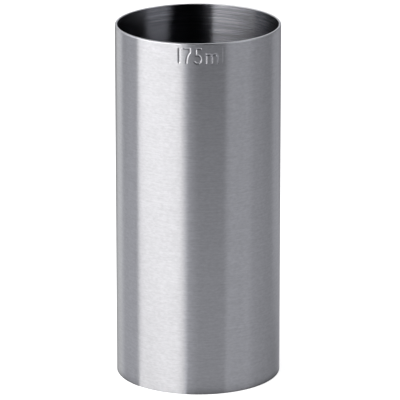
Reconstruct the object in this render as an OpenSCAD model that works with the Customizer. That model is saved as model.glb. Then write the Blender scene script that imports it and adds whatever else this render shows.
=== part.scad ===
// Thimble measure: a straight-sided steel cup that holds its stated volume when it is filled to the brim.
// A length of drawn tube makes the wall. A flat disc closes it a little above the lower edge, so that the
// cup stands on the edge of the tube, and a brazed seam holds the disc and seals it.
// The origin is the centre of the circle that the cup stands on. +Z points up, out of the mouth.
// Lengths are in millimetres.

/* [Body tube] */
// Outside diameter of the tube
tube_d = 48; // [36:0.5:72]
// Height from the standing edge to the brim
tube_h = 105; // [60:0.5:160]
// Thickness of the wall
wall = 0.7; // [0.5:0.05:1.2]
// Radius of the polished edge on the outside of the brim
brim_outer_r = 0.35; // [0.1:0.05:0.5]
// Radius of the polished edge on the inside of the brim
brim_inner_r = 0.2; // [0.1:0.05:0.5]
// Radius of the broken edges that the cup stands between
foot_edge_r = 0.2; // [0.1:0.05:0.3]

/* [Base disc] */
// Thickness of the disc
disc_t = 1; // [0.6:0.1:2]
// Height of the disc's underside above the standing edge
disc_recess = 1.4; // [1:0.1:6]
// Radius left on the disc's rim by blanking it from sheet
disc_edge_r = 0.2; // [0.1:0.05:0.3]

/* [Brazed seam] */
// Gap between the disc's rim and the bore, which the braze fills
braze_gap = 0.1; // [0.05:0.01:0.15]
// Clearance between the braze and the bore, so that their round faces never share space
seam_clearance = 0.02; // [0.01:0.01:0.04]
// Leg of the fillet under the disc
under_fillet_leg = 0.6; // [0.3:0.05:0.8]
// Leg of the fillet inside the cup
inner_fillet_leg = 0.35; // [0.2:0.05:0.5]

/* [Hidden] */
$fn = 180;

// Radii of the tube and of what goes in it
tube_r = tube_d / 2;
bore_r = tube_r - wall;
disc_r = bore_r - braze_gap;
seam_r = bore_r - seam_clearance;
// Height of the face that the drink stands on
disc_top = disc_recess + disc_t;
// Edges, which the wall limits
brim_outer = min(brim_outer_r, wall / 2);
brim_inner = min(brim_inner_r, wall / 2);
foot_edge = min(foot_edge_r, wall / 3);
disc_edge = min(disc_edge_r, disc_t / 3);
// The under fillet ends above the broken edge of the foot
under_leg = min(under_fillet_leg, disc_recess - foot_edge);
// A fillet's arc is centred this many legs from its corner, which gives braze its wetting angle
fillet_centre_share = 1.15;
// Overrun of every cutter
overrun = wall;

// Volume to the brim in cubic millimetres, to compare with the volume that the cup is made to hold
brim_volume = PI * pow(bore_r, 2) * (tube_h - disc_top);
echo(brim_volume_mm3 = brim_volume);

// What a quarter round takes off a square corner. The round's centre is at the origin
module corner_waste(r) {
    difference() {
        square(r + overrun);
        circle(r);
    }
}

// Hollow fillet in the corner at the origin, with its legs along -X and -Y
module fillet_section(leg) {
    difference() {
        translate([-leg, -leg]) square(leg);
        translate([-leg, -leg] * fillet_centre_share)
            circle(leg * norm([fillet_centre_share, fillet_centre_share - 1]));
    }
}

// Half section of the tube, with its polished brim and broken foot
module tube_section() {
    difference() {
        translate([bore_r, 0]) square([wall, tube_h]);
        translate([tube_r - brim_outer, tube_h - brim_outer]) corner_waste(brim_outer);
        translate([bore_r + brim_inner, tube_h - brim_inner]) mirror([1, 0]) corner_waste(brim_inner);
        translate([tube_r - foot_edge, foot_edge]) mirror([0, 1]) corner_waste(foot_edge);
        translate([bore_r + foot_edge, foot_edge]) rotate(180) corner_waste(foot_edge);
    }
}

// Half section of the disc, with the rounded rim of a blanked sheet
module disc_section() {
    difference() {
        translate([0, disc_recess]) square([disc_r, disc_t]);
        translate([disc_r - disc_edge, disc_top - disc_edge]) corner_waste(disc_edge);
        translate([disc_r - disc_edge, disc_recess + disc_edge]) mirror([0, 1]) corner_waste(disc_edge);
    }
}

// Half section of the braze: a film that takes in the disc's rounded rim, with a fillet at each end of it
module seam_section() {
    film_r = disc_r - disc_edge;
    difference() {
        union() {
            translate([film_r, disc_recess]) square([seam_r - film_r, disc_t]);
            translate([seam_r, disc_recess]) fillet_section(under_leg);
            translate([seam_r, disc_top]) mirror([0, 1]) fillet_section(inner_fillet_leg);
        }
        disc_section();
    }
}

module body_tube() {
    color("silver") rotate_extrude() tube_section();
}

module base_disc() {
    color("silver") rotate_extrude() disc_section();
}

module braze_seam() {
    color("lightgoldenrodyellow") rotate_extrude() seam_section();
}

body_tube();
base_disc();
braze_seam();
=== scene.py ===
import math

import bpy
import numpy as np
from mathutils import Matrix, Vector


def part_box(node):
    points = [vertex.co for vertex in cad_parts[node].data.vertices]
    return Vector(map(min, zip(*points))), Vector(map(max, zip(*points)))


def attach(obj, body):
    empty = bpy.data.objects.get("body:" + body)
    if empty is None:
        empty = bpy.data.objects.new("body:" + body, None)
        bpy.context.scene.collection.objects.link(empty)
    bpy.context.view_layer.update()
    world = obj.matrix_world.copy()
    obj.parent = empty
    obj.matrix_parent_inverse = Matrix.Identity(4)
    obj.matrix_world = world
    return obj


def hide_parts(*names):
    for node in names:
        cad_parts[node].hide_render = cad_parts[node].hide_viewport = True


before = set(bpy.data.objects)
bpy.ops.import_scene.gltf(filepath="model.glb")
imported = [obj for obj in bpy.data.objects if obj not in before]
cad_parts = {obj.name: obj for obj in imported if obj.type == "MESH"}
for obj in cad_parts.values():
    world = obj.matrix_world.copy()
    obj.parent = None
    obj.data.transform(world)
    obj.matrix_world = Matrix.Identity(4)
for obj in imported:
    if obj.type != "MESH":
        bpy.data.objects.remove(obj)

MM = 0.001
DEG = math.pi / 180

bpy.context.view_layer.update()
tube_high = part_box("body_tube")[1]

# Sizes that the frame gives
TUBE_R = tube_high.x
TUBE_H = tube_high.z

# Sizes of the tube that its box doesn't give
WALL = 0.7 * MM
BORE_R = TUBE_R - WALL
BRIM_OUTER_R = 0.35 * MM
BRIM_INNER_R = 0.2 * MM
FOOT_EDGE_R = 0.2 * MM
# Radii this close together are one radius
SAME_RADIUS = 1e-6 * MM


def new_object(name, data):
    obj = bpy.data.objects.new(name, data)
    bpy.context.scene.collection.objects.link(obj)
    return obj


# The volume mark: plain single-stroke figures and the unit, stamped into the wall near the brim. Its centres
# are distances round the wall from the side that faces the viewer.
MARK_TOP_BELOW_BRIM = 1.45 * MM
FIGURE_H = 4.3 * MM
FIGURE_W = 2.0 * MM
SMALL_LETTER_H = 2.6 * MM
SMALL_LETTER_W = 3.4 * MM
MARK_CENTRES = {"1": -5.35 * MM, "7": -3.25 * MM, "5": -0.03 * MM, "m": 4.0 * MM, "l": 7.3 * MM}
GROOVE_HALF_W = 0.37 * MM
GROOVE_DEPTH = 0.10 * MM
# The punches struck unevenly: shares of the groove's width and depth, for the figures that differ
STRIKE_SHARES = {"1": (1.5, 1.3), "5": (1.0, 0.85), "l": (1.0, 0.22)}
PLAIN_STRIKE = (1.0, 1.0)


def arc(centre, radii, start_deg, end_deg, steps):
    """Points on an ellipse's arc."""
    (cx, cy), (rx, ry) = centre, radii
    angles = np.linspace(start_deg, end_deg, steps + 1) * DEG
    return [(cx + rx * math.cos(a), cy + ry * math.sin(a)) for a in angles]


def mark_strokes():
    """The mark's strokes: each one's strike, and its points of distance round the wall and height."""
    w, h, x_h = FIGURE_W, FIGURE_H, SMALL_LETTER_H
    one = [[(0, 0.95 * h), (0, 0.1 * h)]]
    seven_leg = arc((0.93 * w, 0.05 * h), (0.95 * w, 0.8 * h), 118, 180, steps=8)
    seven = [[(-0.32 * w, h), (0.45 * w, h)] + seven_leg]
    bowl_r = 0.28 * h
    five_bowl = arc((-0.06 * w, bowl_r), (0.5 * w, bowl_r), 115, -145, steps=16)
    five = [[(0.42 * w, h), (-0.27 * w, h)] + five_bowl]
    hump_w = SMALL_LETTER_W / 2
    hump_r = hump_w / 2
    em = [[(-hump_w, 0), (-hump_w, 1.05 * x_h)]]
    for left in (-hump_w, 0):
        right = left + hump_w
        crown = arc(((left + right) / 2, x_h - hump_r), (hump_r, hump_r), 180, 0, steps=8)
        em.append(crown + [(right, 0)])
    el = [[(0, h), (0, 0)]]
    glyphs = {"1": one, "7": seven, "5": five, "m": em, "l": el}
    return [
        (STRIKE_SHARES.get(name, PLAIN_STRIKE), [(MARK_CENTRES[name] + x, y) for x, y in stroke])
        for name, strokes in glyphs.items()
        for stroke in strokes
    ]


def stamp_depth(angle, z):
    """How far the stamp moves the wall inwards at each point."""
    x = (angle + math.pi / 2) * TUBE_R
    y = z - (TUBE_H - MARK_TOP_BELOW_BRIM - FIGURE_H)
    depth = np.zeros(x.shape)
    for (wide, deep), stroke in mark_strokes():
        for (ax, ay), (bx, by) in zip(stroke, stroke[1:]):
            dx, dy = bx - ax, by - ay
            share = np.clip(((x - ax) * dx + (y - ay) * dy) / (dx * dx + dy * dy), 0, 1)
            far = np.hypot(x - ax - share * dx, y - ay - share * dy) / (wide * GROOVE_HALF_W)
            profile = 0.5 + 0.5 * np.cos(math.pi * np.minimum(far, 1))
            depth = np.maximum(depth, deep * GROOVE_DEPTH * profile)
    return depth


# The body's mesh: points MARK_STEP apart over the mark, whose middle and half span are measured round the
# wall, fewer elsewhere, and a row at the distance SUPPORT from each rounded edge
MARK_STEP = 0.06 * MM
MARK_HALF_SPAN = 9.4 * MM
MARK_MIDDLE = 0.85 * MM
MARK_MARGIN_Z = 0.8 * MM
COARSE_COLUMNS = 200
PLAIN_ROWS = 10
ARC_STEPS = 8
SUPPORT = 0.05 * MM


def column_angles():
    """Angles round the cup, close together over the mark, which faces -Y."""
    middle = -math.pi / 2 + MARK_MIDDLE / TUBE_R
    half = MARK_HALF_SPAN / TUBE_R
    fine = np.linspace(middle - half, middle + half, round(2 * MARK_HALF_SPAN / MARK_STEP) + 1)
    rest = np.linspace(middle + half, middle + 2 * math.pi - half, COARSE_COLUMNS + 1)[1:-1]
    return np.concatenate([fine, rest])


def quarter(cx, cz, r, start_deg):
    """A quarter round of the section, turning anticlockwise from its start."""
    angles = start_deg * DEG + np.linspace(0, math.pi / 2, ARC_STEPS + 1)
    return [(cx + r * math.cos(a), cz + r * math.sin(a)) for a in angles]


def tube_section():
    """The tube's section as a closed loop of radius and height, up the outside and down the bore."""
    mark_top = TUBE_H - MARK_TOP_BELOW_BRIM + MARK_MARGIN_Z
    mark_foot = TUBE_H - MARK_TOP_BELOW_BRIM - FIGURE_H - MARK_MARGIN_Z
    low = FOOT_EDGE_R + SUPPORT
    high = TUBE_H - BRIM_OUTER_R - SUPPORT
    rows = round((mark_top - mark_foot) / MARK_STEP) + 1
    outside = [(TUBE_R, z) for z in np.linspace(low, mark_foot, PLAIN_ROWS)[:-1]]
    outside += [(TUBE_R, z) for z in np.linspace(mark_foot, mark_top, rows)]
    outside += [(TUBE_R, high)]
    bore_high = TUBE_H - BRIM_INNER_R - SUPPORT
    bore = [(BORE_R, z) for z in np.linspace(bore_high, low, PLAIN_ROWS)]
    return (
        quarter(TUBE_R - FOOT_EDGE_R, FOOT_EDGE_R, FOOT_EDGE_R, -90)
        + outside
        + quarter(TUBE_R - BRIM_OUTER_R, TUBE_H - BRIM_OUTER_R, BRIM_OUTER_R, 0)
        + quarter(BORE_R + BRIM_INNER_R, TUBE_H - BRIM_INNER_R, BRIM_INNER_R, 90)
        + bore
        + quarter(BORE_R + FOOT_EDGE_R, FOOT_EDGE_R, FOOT_EDGE_R, 180)
    )


def grid_normals(points):
    """Unit normals of a grid of points that closes on itself both ways."""
    along = np.roll(points, -1, 0) - np.roll(points, 1, 0)
    across = np.roll(points, -1, 1) - np.roll(points, 1, 1)
    normals = np.cross(along, across)
    return normals / np.linalg.norm(normals, axis=2, keepdims=True)


def closed_grid(name, points):
    """A mesh of quads from a grid of points that closes on itself both ways."""
    columns, rows = points.shape[:2]
    index = np.arange(columns * rows).reshape(columns, rows)
    right = np.roll(index, -1, 0)
    faces = np.stack([index, right, np.roll(right, -1, 1), np.roll(index, -1, 1)], 2)
    mesh = bpy.data.meshes.new(name)
    mesh.from_pydata(points.reshape(-1, 3).tolist(), [], faces.reshape(-1, 4).tolist())
    mesh.polygons.foreach_set("use_smooth", [True] * len(mesh.polygons))
    mesh.normals_split_custom_set_from_vertices(grid_normals(points).reshape(-1, 3).tolist())
    mesh.update()
    return mesh


def build_body(materials):
    """The whole wall with its brim, foot and stamped mark."""
    angles = column_angles()
    section = np.array(tube_section())
    angle, radius = np.meshgrid(angles, section[:, 0], indexing="ij")
    height = np.meshgrid(angles, section[:, 1], indexing="ij")[1]
    depth = np.where(radius > TUBE_R - SAME_RADIUS, stamp_depth(angle, height), 0)
    reach = radius - depth
    points = np.stack([reach * np.cos(angle), reach * np.sin(angle), height], 2)
    mesh = closed_grid("cup_body", points)
    for material in materials.values():
        mesh.materials.append(material)
    names = list(materials)
    rows = len(section)
    for face in mesh.polygons:
        row = face.index % rows
        r0, r1 = section[row, 0], section[(row + 1) % rows, 0]
        if min(r0, r1) > TUBE_R - SAME_RADIUS:
            slot = "outside"
        elif max(r0, r1) < BORE_R + SAME_RADIUS:
            slot = "bore"
        else:
            slot = "edge"
        face.material_index = names.index(slot)
    body = new_object("cup_body", mesh)
    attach(body, "root")
    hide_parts("body_tube")


# The short marks of brushing, as noise cells for each metre along X, Y and Z
MARK_SCALE = (850, 850, 1900)
# How much they change the roughness
MARK_ROUGHNESS_SHARE = 0.03
# Turns the highlights' stretch from round the cup to up and down
QUARTER_TURN = 0.25


class Nodes:
    """Short calls for one material's nodes."""

    def __init__(self, name):
        self.material = bpy.data.materials.new(name)
        self.material.use_nodes = True
        self.tree = self.material.node_tree
        self.tree.nodes.clear()

    def add(self, kind, **settings):
        node = self.tree.nodes.new(kind)
        for key, value in settings.items():
            setattr(node, key, value)
        return node

    def link(self, output, socket):
        self.tree.links.new(output, socket)

    def stretched(self, scale, detail, seed_shift, roughness=0.5):
        """Noise over object space, with its own scale along each axis. Returns the factor's socket."""
        place = self.add("ShaderNodeTexCoord")
        mapping = self.add("ShaderNodeMapping")
        mapping.inputs["Location"].default_value = seed_shift
        mapping.inputs["Scale"].default_value = scale
        noise = self.add("ShaderNodeTexNoise", noise_dimensions="3D")
        noise.inputs["Scale"].default_value = 1
        noise.inputs["Detail"].default_value = detail
        noise.inputs["Roughness"].default_value = roughness
        self.link(place.outputs["Object"], mapping.inputs["Vector"])
        self.link(mapping.outputs["Vector"], noise.inputs["Vector"])
        return noise.outputs["Fac"]

    def ranged(self, value, to_low, to_high, from_low=0.3, from_high=0.7):
        """A value moved from one range, which is noise's usual one by default, to another."""
        node = self.add("ShaderNodeMapRange")
        node.inputs["From Min"].default_value = from_low
        node.inputs["From Max"].default_value = from_high
        node.inputs["To Min"].default_value = to_low
        node.inputs["To Max"].default_value = to_high
        self.link(value, node.inputs["Value"])
        return node.outputs["Result"]

    def relief(self, height, distance):
        """A bump node for fine relief of the given depth."""
        bump = self.add("ShaderNodeBump")
        bump.inputs["Strength"].default_value = 1
        bump.inputs["Distance"].default_value = distance
        self.link(height, bump.inputs["Height"])
        return bump

    def finish(self, shader):
        output = self.add("ShaderNodeOutputMaterial")
        self.link(shader, output.inputs["Surface"])
        return self.material


def brushed_steel(name, colour, roughness, line_scale, line_share, mark_share, line_height, mark_height):
    """Steel brushed in long lines and short marks round the cup, so that highlights stretch up and down."""
    n = Nodes(name)
    lines = n.stretched(line_scale, detail=2, seed_shift=(0, 0, 0))
    marks = n.stretched(MARK_SCALE, detail=3, seed_shift=(3, 5, 7), roughness=0.6)
    shader = n.add("ShaderNodeBsdfPrincipled")
    shader.inputs["Metallic"].default_value = 1
    shader.inputs["Anisotropic"].default_value = 1
    shader.inputs["Anisotropic Rotation"].default_value = QUARTER_TURN
    tangent = n.add("ShaderNodeTangent", direction_type="RADIAL", axis="Z")
    n.link(tangent.outputs["Tangent"], shader.inputs["Tangent"])
    smooth, rough = (1 - MARK_ROUGHNESS_SHARE) * roughness, (1 + MARK_ROUGHNESS_SHARE) * roughness
    n.link(n.ranged(marks, smooth, rough), shader.inputs["Roughness"])
    line_tone = n.ranged(lines, 1 - line_share, 1 + line_share)
    mark_tone = n.ranged(marks, 1 - mark_share, 1 + mark_share)
    tone = n.add("ShaderNodeMath", operation="MULTIPLY")
    n.link(line_tone, tone.inputs[0])
    n.link(mark_tone, tone.inputs[1])
    tinted = n.add("ShaderNodeVectorMath", operation="SCALE")
    tinted.inputs[0].default_value = colour[:3]
    n.link(tone.outputs["Value"], tinted.inputs["Scale"])
    n.link(tinted.outputs["Vector"], shader.inputs["Base Color"])
    line_relief = n.relief(lines, line_height)
    mark_relief = n.relief(marks, mark_height)
    n.link(line_relief.outputs["Normal"], mark_relief.inputs["Normal"])
    n.link(mark_relief.outputs["Normal"], shader.inputs["Normal"])
    return n.finish(shader.outputs["BSDF"])


def plain_metal(name, colour, roughness, roughness_spread, grain, grain_height):
    """Metal with no brushed direction. Its grain is in noise cells for each metre."""
    n = Nodes(name)
    noise = n.stretched((grain, grain, grain), detail=4, seed_shift=(1, 2, 3))
    shader = n.add("ShaderNodeBsdfPrincipled")
    shader.inputs["Metallic"].default_value = 1
    shader.inputs["Base Color"].default_value = colour
    low, high = roughness - roughness_spread, roughness + roughness_spread
    n.link(n.ranged(noise, low, high), shader.inputs["Roughness"])
    n.link(n.relief(noise, grain_height).outputs["Normal"], shader.inputs["Normal"])
    return n.finish(shader.outputs["BSDF"])


def steel_outside():
    return brushed_steel(
        "steel_outside",
        colour=(0.61, 0.612, 0.63, 1),
        roughness=0.286,
        line_scale=(160, 160, 2400),
        line_share=0.04,
        mark_share=0.08,
        line_height=0.006 * MM,
        mark_height=0.004 * MM,
    )


# The bore's steel is coloured lighter than the outside's: painted light, which lifts the inside of the cup
def steel_bore():
    return brushed_steel(
        "steel_bore",
        colour=(0.70, 0.706, 0.76, 1),
        roughness=0.23,
        line_scale=(60, 60, 4200),
        line_share=0.26,
        mark_share=0.05,
        line_height=0.004 * MM,
        mark_height=0.003 * MM,
    )


def steel_edge():
    """The polished brim and the broken edges of the foot."""
    return plain_metal(
        "steel_edge",
        colour=(0.76, 0.765, 0.79, 1),
        roughness=0.34,
        roughness_spread=0.03,
        grain=900,
        grain_height=0.0005 * MM,
    )


def steel_sheet():
    """The disc's rolled sheet."""
    return plain_metal(
        "steel_sheet",
        colour=(0.56, 0.565, 0.6, 1),
        roughness=0.4,
        roughness_spread=0.06,
        grain=1500,
        grain_height=0.001 * MM,
    )


def braze_alloy():
    """Silver brazing alloy, smooth as it set."""
    return plain_metal(
        "braze_alloy",
        colour=(0.78, 0.74, 0.62, 1),
        roughness=0.28,
        roughness_spread=0.05,
        grain=700,
        grain_height=0.004 * MM,
    )


def carried_over(node, material):
    """Gives a CAD node its material."""
    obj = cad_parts[node]
    obj.data.materials.clear()
    obj.data.materials.append(material)


# The studio, in metres. Azimuths are in degrees round the cup from the viewer, who is at 0, and they grow to
# the viewer's right.
AZIMUTH_STEP = 0.5
AZIMUTHS = np.arange(-180, 180, AZIMUTH_STEP)
ROOM_R = 2.4
ROOM_H = 1.7
# The room's low light ends at this height, and changes to the high light over the edge above it
LOW_H = 0.45
LOW_EDGE = 0.10
# The ceiling's rings start at a small hub
HUB_R = 1 * MM
# The key light stands on the left. Past it, a pale strip reaches from behind the cup to STRIP_TO
KEY_FROM, KEY_TO = -91.5, -20.0
STRIP_TO = -135.0
KEY_DISTANCE = 1.4
KEY_H = 1.9
KEY_LEVEL = 2.7
# The key is all but white, the strip is a touch cool and the other light is cooler
KEY_TINT = np.array([1.0, 0.99, 0.995])
STRIP_TINT = np.array([1.0, 1.01, 1.02])
COOL_TINT = np.array([1.0, 1.01, 1.07])

# What the metal sees round the room: azimuth, and how bright it is there up to LOW_H and above it
ROOM_LEVELS = [
    (-180, 0.20, 0.60),
    (-156, 0.20, 0.60),
    (-150, 0.15, 0.60),
    (-126, 0.15, 0.60),
    (-117, 0.15, 1.15),
    (-106, 0.15, 1.85),
    (-92, 0.15, 1.50),
    (-91, 1.00, 2.90),
    (-76, 1.00, 3.15),
    (-59, 1.00, 3.70),
    (-44, 1.00, 4.35),
    (-29, 0.90, 4.70),
    (-22, 0.60, 3.60),
    (-21, 0.55, 0.40),
    (-19, 0.45, 0.20),
    (-12, 0.25, 0.05),
    (-5, 0.05, 0.00),
    (8, 0.00, 0.00),
    (37, 0.00, 0.00),
    (39, 0.80, 0.00),
    (43, 0.75, 0.00),
    (47, 0.40, 1.58),
    (60, 0.30, 1.58),
    (72, 0.35, 1.95),
    (79, 0.50, 1.40),
    (84, 0.65, 0.25),
    (92, 0.65, 0.05),
    (100, 0.40, 0.00),
    (115, 0.20, 0.00),
    (150, 0.20, 0.00),
    (156, 0.20, 0.60),
    (180, 0.20, 0.60),
]
# The ceiling is lit behind the cup alone, where the brim mirrors it and the dark bore doesn't
CEILING_LEVELS = [
    (-180, 0.65),
    (-155, 0.65),
    (-130, 0.00),
    (115, 0.00),
    (130, 1.40),
    (140, 1.40),
    (155, 0.65),
    (180, 0.65),
]
# The share of the room's light that a second reflection shows: painted shade, which sets how dark the cup is
# inside
SECOND_SHARE = 0.03


def at_azimuth(azimuth, distance, height=0.0):
    """A point out from the cup's axis."""
    a = azimuth * DEG
    return (distance * math.sin(a), -distance * math.cos(a), height)


def levels_round(table):
    """The columns of a table of levels by azimuth, filled in for every azimuth."""
    stops, *columns = np.array(table).T
    return [np.interp(AZIMUTHS, stops, column) for column in columns]


def where_it_shows(azimuth, reach, height):
    """A point seen in the wall: out along the azimuth from where the wall mirrors it to the viewer."""
    wall_x, wall_y, _ = at_azimuth(azimuth / 2, TUBE_R)
    x, y, _ = at_azimuth(azimuth, reach)
    return (wall_x + x, wall_y + y, height)


def lit_sheet(name, rings, place):
    """A sheet from rings of reach, height and levels of light. The first ring is capped."""
    count = len(AZIMUTHS)
    verts = [place(azimuth, reach, height) for reach, height, _ in rings for azimuth in AZIMUTHS]
    faces = [tuple(range(count))]
    for ring in range(len(rings) - 1):
        for column in range(count):
            left = ring * count + column
            right = ring * count + (column + 1) % count
            faces.append((left, right, right + count, left + count))
    mesh = bpy.data.meshes.new(name)
    mesh.from_pydata(verts, [], faces)
    levels = np.concatenate([level for _, _, level in rings])[:, None]
    in_key = (AZIMUTHS >= KEY_FROM) & (AZIMUTHS <= KEY_TO)
    in_strip = AZIMUTHS <= STRIP_TO
    tints = np.select([in_key[:, None], in_strip[:, None]], [KEY_TINT, STRIP_TINT], COOL_TINT)
    colours = np.concatenate([levels * np.tile(tints, (len(rings), 1)), np.ones_like(levels)], 1)
    attribute = mesh.attributes.new("light", "FLOAT_COLOR", "POINT")
    attribute.data.foreach_set("color", colours.ravel().tolist())
    return mesh


def build_room():
    """A round wall and a ceiling that only reflections show: the key, pale cards and black ones."""
    low, high = levels_round(ROOM_LEVELS)
    ceiling = levels_round(CEILING_LEVELS)[0]
    rings = [
        (HUB_R, ROOM_H, ceiling),
        (ROOM_R - LOW_EDGE, ROOM_H, ceiling),
        (ROOM_R, ROOM_H, high),
        (ROOM_R, LOW_H + LOW_EDGE, high),
        (ROOM_R, LOW_H, low),
        (ROOM_R, 0, low),
    ]
    mesh = lit_sheet("room_wall", rings, at_azimuth)
    n = Nodes("room_wall")
    wall_colour = n.add("ShaderNodeAttribute", attribute_name="light")
    path = n.add("ShaderNodeLightPath")
    light = n.add("ShaderNodeEmission")
    n.link(wall_colour.outputs["Color"], light.inputs["Color"])
    # Painted shade: the room glows dimmer in second reflections, which darkens the inside of the cup
    strength = n.ranged(path.outputs["Glossy Depth"], 1, SECOND_SHARE, from_low=1, from_high=2)
    n.link(strength, light.inputs["Strength"])
    material = n.finish(light.outputs["Emission"])
    material.cycles.emission_sampling = "NONE"
    mesh.materials.append(material)
    wall = new_object("room_wall", mesh)
    wall.visible_camera = False
    wall.visible_diffuse = False
    wall.visible_shadow = False
    wall.visible_transmission = False


def softbox(name, azimuth_from, azimuth_to, distance, height, level):
    """An upright area light of the given brightness, with its side edges at the given azimuths."""
    ax, ay, _ = at_azimuth(azimuth_from, distance)
    bx, by, _ = at_azimuth(azimuth_to, distance)
    width = math.hypot(bx - ax, by - ay)
    light = bpy.data.lights.new(name, "AREA")
    light.shape = "RECTANGLE"
    light.size = width
    light.size_y = height
    light.energy = level * math.pi * width * height
    lamp = new_object(name, light)
    lamp.location = ((ax + bx) / 2, (ay + by) / 2, height / 2)
    facing = math.atan2(lamp.location.y, lamp.location.x)
    lamp.rotation_euler = (math.pi / 2, 0, facing + math.pi / 2)
    lamp.visible_camera = False
    lamp.visible_glossy = False


# The floor's grey, and how much the camera alone sees it lifted towards white
FLOOR_COLOUR = 0.8
FLOOR_LIFT = 0.7
# What the metal sees of the floor is painted light and shade: the key's light on the left, the cup's shadow
# on the right. Azimuth, and how bright it is at each reach out from the cup, next to the foot, close,
# further and far.
# The last reach is the floor's edge, which is as bright as the one before it.
FLOOR_REACH = [0.02, 0.14, 0.32, 1.0, 3.0]
FLOOR_LEVELS = [
    (-180, 0.40, 0.42, 0.30, 0.28),
    (-156, 0.40, 0.42, 0.30, 0.28),
    (-154, 0.69, 0.80, 0.80, 0.86),
    (-132, 0.69, 0.80, 0.80, 0.86),
    (-129, 0.52, 0.54, 0.40, 0.32),
    (-117, 0.48, 0.54, 0.44, 0.30),
    (-106, 0.47, 0.53, 0.43, 0.26),
    (-92, 0.42, 0.44, 0.35, 0.20),
    (-91, 1.13, 1.26, 1.50, 1.35),
    (-72, 1.02, 1.22, 1.45, 1.30),
    (-58, 1.06, 1.22, 1.25, 1.05),
    (-50, 1.05, 1.19, 1.08, 0.82),
    (-30, 1.00, 1.10, 0.83, 0.58),
    (-18, 0.93, 1.17, 0.83, 0.52),
    (-15, 0.58, 0.65, 0.44, 0.32),
    (-8, 0.56, 0.68, 0.35, 0.18),
    (0, 0.50, 0.62, 0.21, 0.10),
    (34, 0.49, 0.59, 0.25, 0.14),
    (42, 0.51, 0.59, 0.28, 0.16),
    (48, 0.37, 0.44, 0.22, 0.14),
    (62, 0.35, 0.42, 0.18, 0.10),
    (72, 0.35, 0.42, 0.18, 0.10),
    (82, 0.37, 0.45, 0.28, 0.20),
    (100, 0.36, 0.45, 0.31, 0.26),
    (126, 0.34, 0.42, 0.31, 0.26),
    (127, 0.30, 0.49, 0.49, 0.35),
    (150, 0.30, 0.49, 0.49, 0.35),
    (156, 0.40, 0.42, 0.30, 0.28),
    (180, 0.40, 0.42, 0.30, 0.28),
]
# A painted contact shadow in what the metal sees of the floor: the foot keeps light off the floor right next
# to it.
# Azimuth, and the share of the light that is left there
CONTACT_SHADOW_REACH = 4.0 * MM
CONTACT_SHADOW_SHARES = [
    (-180, 0.20),
    (-92, 0.20),
    (-91, 0.80),
    (-18, 0.80),
    (-15, 0.30),
    (34, 0.30),
    (60, 0.00),
    (150, 0.00),
    (156, 0.20),
    (180, 0.20),
]


def build_floor():
    """A pale floor with the cup's shadow, seen lifted by the camera. The metal sees painted light and shade.
    """
    levels = levels_round(FLOOR_LEVELS)
    # The painted contact shadow darkens the floor's levels next to the foot
    contact_shadow = levels_round(CONTACT_SHADOW_SHARES)[0]
    rings = [
        (0, 0, contact_shadow * levels[0]),
        (CONTACT_SHADOW_REACH, 0, levels[0]),
    ]
    rings += [(reach, 0, level) for reach, level in zip(FLOOR_REACH, levels + levels[-1:])]
    mesh = lit_sheet("floor", rings, where_it_shows)
    n = Nodes("floor")
    path = n.add("ShaderNodeLightPath")
    diffuse = n.add("ShaderNodeBsdfDiffuse")
    diffuse.inputs["Color"].default_value = (FLOOR_COLOUR, FLOOR_COLOUR, FLOOR_COLOUR, 1)
    lift = n.add("ShaderNodeMath", operation="MULTIPLY")
    lift.inputs[1].default_value = FLOOR_LIFT
    n.link(path.outputs["Is Camera Ray"], lift.inputs[0])
    glow = n.add("ShaderNodeEmission")
    n.link(lift.outputs["Value"], glow.inputs["Strength"])
    lifted = n.add("ShaderNodeAddShader")
    n.link(diffuse.outputs["BSDF"], lifted.inputs[0])
    n.link(glow.outputs["Emission"], lifted.inputs[1])
    # Glossy rays see painted light and shadow from the levels above in place of the floor's real shading
    seen_by_metal = n.add("ShaderNodeAttribute", attribute_name="light")
    painted_reflection = n.add("ShaderNodeEmission")
    n.link(seen_by_metal.outputs["Color"], painted_reflection.inputs["Color"])
    shader = n.add("ShaderNodeMixShader")
    n.link(path.outputs["Is Glossy Ray"], shader.inputs["Fac"])
    n.link(lifted.outputs["Shader"], shader.inputs[1])
    n.link(painted_reflection.outputs["Emission"], shader.inputs[2])
    material = n.finish(shader.outputs["Shader"])
    material.cycles.emission_sampling = "NONE"
    mesh.materials.append(material)
    new_object("floor", mesh)


# The world is white where it is seen, and lights everything else at its own level
SEEN_LEVEL = 1.0
WORLD_LEVEL = 0.5


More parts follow.
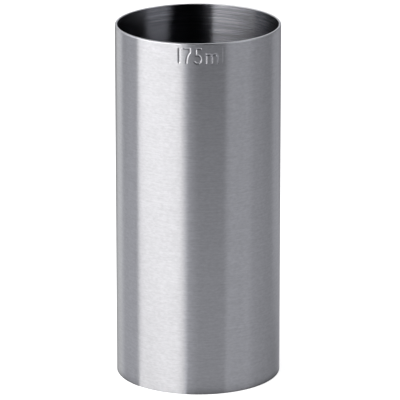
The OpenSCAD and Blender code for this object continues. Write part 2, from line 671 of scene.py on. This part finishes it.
def build_world():
    """White behind the cup, for the camera and for reflections, and a plain level of light elsewhere."""
    world = bpy.data.worlds.new("studio")
    bpy.context.scene.world = world
    world.use_nodes = True
    tree = world.node_tree
    background = tree.nodes["Background"]
    path = tree.nodes.new("ShaderNodeLightPath")
    seen = tree.nodes.new("ShaderNodeMath")
    seen.operation = "MAXIMUM"
    seen_too = tree.nodes.new("ShaderNodeMath")
    seen_too.operation = "MAXIMUM"
    tree.links.new(path.outputs["Is Camera Ray"], seen.inputs[0])
    tree.links.new(path.outputs["Is Glossy Ray"], seen.inputs[1])
    tree.links.new(seen.outputs["Value"], seen_too.inputs[0])
    tree.links.new(path.outputs["Is Transmission Ray"], seen_too.inputs[1])
    level = tree.nodes.new("ShaderNodeMapRange")
    level.inputs["To Min"].default_value = WORLD_LEVEL
    level.inputs["To Max"].default_value = SEEN_LEVEL
    tree.links.new(seen_too.outputs["Value"], level.inputs["Value"])
    tree.links.new(level.outputs["Result"], background.inputs["Strength"])
    background.inputs["Color"].default_value = (1, 1, 1, 1)


# The camera stands where the photo's outline puts it. Its angles are in degrees, its sensor in millimetres
CAMERA_X = 0.72 * MM
CAMERA_BACK = 1102.7 * MM
CAMERA_H = 383.65 * MM
CAMERA_DOWN = 16.75
CAMERA_ROLL = 0.03
SENSOR_W = 36.0
# The photo's width and the camera's focal length, in the photo's pixels
FRAME_PX = 400
FOCAL_PX = 3942.5


def build_camera():
    data = bpy.data.cameras.new("camera")
    data.sensor_width = SENSOR_W
    data.lens = SENSOR_W * FOCAL_PX / FRAME_PX
    camera = new_object("camera", data)
    camera.location = (CAMERA_X, -CAMERA_BACK, CAMERA_H)
    camera.rotation_euler = ((90 - CAMERA_DOWN) * DEG, CAMERA_ROLL * DEG, 0)
    bpy.context.scene.camera = camera


def main():
    bpy.context.scene.view_settings.view_transform = "Standard"
    build_camera()
    build_body({"outside": steel_outside(), "bore": steel_bore(), "edge": steel_edge()})
    carried_over("base_disc", steel_sheet())
    carried_over("braze_seam", braze_alloy())
    build_world()
    build_floor()
    build_room()
    softbox("key_softbox", KEY_FROM, KEY_TO, KEY_DISTANCE, KEY_H, KEY_LEVEL)


main()
